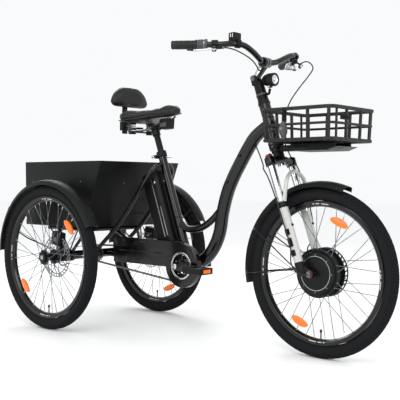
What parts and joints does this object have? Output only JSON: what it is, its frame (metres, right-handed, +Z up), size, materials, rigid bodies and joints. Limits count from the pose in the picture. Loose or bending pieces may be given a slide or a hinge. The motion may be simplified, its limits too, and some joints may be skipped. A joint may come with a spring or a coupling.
{
  "type": "adult tricycle",
  "caption": "Step-through electric adult tricycle: hub motor in a sprung fork, front basket, cargo box between the rear wheels, chain drive, saddle with back rest.",
  "frame": {"origin": "on the floor under the middle of the whole tricycle", "axes": "+X forward, +Y to the rider's left, +Z up"},
  "size_m": [1.7808, 0.721, 1.1655],
  "materials": {
    "gloss_black": "gloss black paint",
    "satin_black": "satin black paint",
    "black_plastic": "fine-textured black plastic",
    "basket_grey": "warm dark grey moulded plastic",
    "tyre": "charcoal rubber with a diamond tread",
    "silver": "brushed silver",
    "steel": "plain steel, lightly oiled",
    "fork_white": "white gloss paint",
    "red": "red anodised",
    "grey": "grey rubbery plastic",
    "rubber": "black rubber",
    "leather": "black coated seat cover with a soft sheen",
    "red_lens": "clear red lens"
  },
  "bodies": {
    "frame": {"front_frame": "gloss_black", "rear_frame": "gloss_black", "seat_clamp": "satin_black", "battery": "black_plastic", "chain": "steel", "chain_case": "gloss_black", "rear_caliper_right": "satin_black", "rear_caliper_left": "satin_black", "rear_fender_right": "satin_black", "rear_fender_left": "satin_black", "tail_light_right": "red_lens", "tail_light_left": "red_lens", "cargo_rack": "gloss_black", "cargo_box": "satin_black", "front_basket": "basket_grey", "basket_carrier": "satin_black", "motor_cable": "rubber"},
    "steering": {"fork_crown": "gloss_black", "stem_column": "satin_black", "headlight": "black_plastic", "front_brake_cable": "rubber"},
    "bars": {"stem_arm": "gloss_black", "handlebar": "gloss_black", "grip_right": "rubber", "grip_left": "rubber", "lever_holder_right": "satin_black", "lever_holder_left": "satin_black", "display": "black_plastic", "bell": "silver", "rear_brake_cable": "rubber"},
    "brake_lever_right": {"brake_lever_right": "silver"},
    "brake_lever_left": {"brake_lever_left": "silver"},
    "shift_twist": {"shift_twist": "grey"},
    "assist_button": {"assist_button": "grey"},
    "bell_lever": {"bell_lever": "silver"},
    "lockout_knob": {"lockout_knob": "red"},
    "lowers": {"fork_lowers": "fork_white", "front_axle": "steel", "front_caliper": "satin_black", "front_fender": "satin_black"},
    "front_wheel": {"front_tyre": "tyre", "front_rim": "gloss_black", "motor_hub": "satin_black", "front_rotor": "silver"},
    "rear_wheel_right": {"rear_tyre_right": "tyre", "rear_rim_right": "gloss_black", "rear_hub_right": "satin_black"},
    "rear_wheel_left": {"rear_tyre_left": "tyre", "rear_rim_left": "gloss_black", "rear_hub_left": "satin_black"},
    "crank": {"crankset": "gloss_black"},
    "axle_sprocket": {"axle_sprocket": "steel"},
    "pedal_right": {"pedal_right": "black_plastic"},
    "pedal_left": {"pedal_left": "black_plastic"},
    "seat": {"seatpost": "satin_black", "saddle": "leather", "saddle_frame": "satin_black"},
    "backrest_post": {"backrest_post": "satin_black"},
    "backrest": {"backrest": "leather"},
    "seat_lever": {"seat_lever": "silver"}
  },
  "joints": [
    {"name": "steering", "type": "hinge", "parent": "frame", "child": "steering", "pos_m": [0.3264, 0, 0.926], "axis": [-0.3387, 0, 0.9409], "range_deg": [-45, 45], "deforming": ["front_brake_cable", "motor_cable"]},
    {"name": "stem_tilt", "type": "hinge", "parent": "steering", "child": "bars", "pos_m": [0.2854, 0, 1.018], "axis": [0, 1, 0], "range_deg": [-15, 20], "deforming": ["front_brake_cable"]},
    {"name": "brake_lever_right", "type": "hinge", "parent": "bars", "child": "brake_lever_right", "pos_m": [0.30563, -0.2652, 1.09687], "axis": [0.3541, -0.4844, 0.8], "range_deg": [-11, 0], "stiffness_Nm_per_rad": 1, "springref_deg": 8.59},
    {"name": "brake_lever_left", "type": "hinge", "parent": "bars", "child": "brake_lever_left", "pos_m": [0.30563, 0.2652, 1.09687], "axis": [-0.3541, -0.4844, -0.8], "range_deg": [-11, 0], "stiffness_Nm_per_rad": 1, "springref_deg": 8.59},
    {"name": "shift_twist", "type": "hinge", "parent": "bars", "child": "shift_twist", "pos_m": [0.25724, -0.26378, 1.11666], "axis": [-0.8027, -0.5963, -0.0057], "range_deg": [0, 90]},
    {"name": "assist_button", "type": "slide", "parent": "bars", "child": "assist_button", "axis": [0, 0, -1], "range_m": [0, 0.0015], "stiffness_N_per_m": 300, "springref_m": -0.001},
    {"name": "bell_lever", "type": "hinge", "parent": "bars", "child": "bell_lever", "pos_m": [0.3134, 0.188, 1.097], "axis": [0, 0, 1], "range_deg": [0, 25], "stiffness_Nm_per_rad": 0.05, "springref_deg": -5.73},
    {"name": "lockout_knob", "type": "hinge", "parent": "steering", "child": "lockout_knob", "pos_m": [0.402, -0.065, 0.716], "axis": [-0.3387, 0, 0.9409], "range_deg": [0, 90]},
    {"name": "fork_slide", "type": "slide", "parent": "steering", "child": "lowers", "axis": [-0.3387, 0, 0.9409], "range_m": [0, 0.05], "stiffness_N_per_m": 9000, "springref_m": -0.03, "deforming": ["front_brake_cable", "motor_cable"]},
    {"name": "front_wheel", "type": "hinge", "parent": "lowers", "child": "front_wheel", "pos_m": [0.5854, 0, 0.305], "axis": [0, 1, 0], "continuous": true},
    {"name": "rear_wheel_right", "type": "hinge", "parent": "frame", "child": "rear_wheel_right", "pos_m": [-0.5626, -0.3245, 0.305], "axis": [0, 1, 0], "continuous": true},
    {"name": "rear_wheel_left", "type": "hinge", "parent": "frame", "child": "rear_wheel_left", "pos_m": [-0.5626, 0.3245, 0.305], "axis": [0, 1, 0], "continuous": true},
    {"name": "crank", "type": "hinge", "parent": "frame", "child": "crank", "pos_m": [-0.0346, 0, 0.288], "axis": [0, 1, 0], "continuous": true},
    {"name": "axle_sprocket", "type": "hinge", "parent": "frame", "child": "axle_sprocket", "pos_m": [-0.5626, -0.05, 0.305], "axis": [0, 1, 0], "continuous": true},
    {"name": "pedal_right", "type": "hinge", "parent": "crank", "child": "pedal_right", "pos_m": [0.1304, -0.15, 0.288], "axis": [0, 1, 0], "continuous": true},
    {"name": "pedal_left", "type": "hinge", "parent": "crank", "child": "pedal_left", "pos_m": [-0.1996, 0.15, 0.288], "axis": [0, 1, 0], "continuous": true},
    {"name": "seat_height", "type": "slide", "parent": "frame", "child": "seat", "axis": [-0.3487, 0, 0.9373], "range_m": [-0.04, 0.08]},
    {"name": "backrest_height", "type": "slide", "parent": "seat", "child": "backrest_post", "axis": [0, 0, 1], "range_m": [0, 0.04]},
    {"name": "backrest_tilt", "type": "hinge", "parent": "backrest_post", "child": "backrest", "pos_m": [-0.4446, 0, 0.992], "axis": [0, 1, 0], "range_deg": [-10, 10]},
    {"name": "seat_lever", "type": "hinge", "parent": "frame", "child": "seat_lever", "pos_m": [-0.2391, 0.028, 0.73224], "axis": [-0.3487, 0, 0.9373], "range_deg": [0, 150]}
  ],
  "couplings": [
    {"joint": "axle_sprocket", "follows": "crank", "ratio": 2}
  ]
}
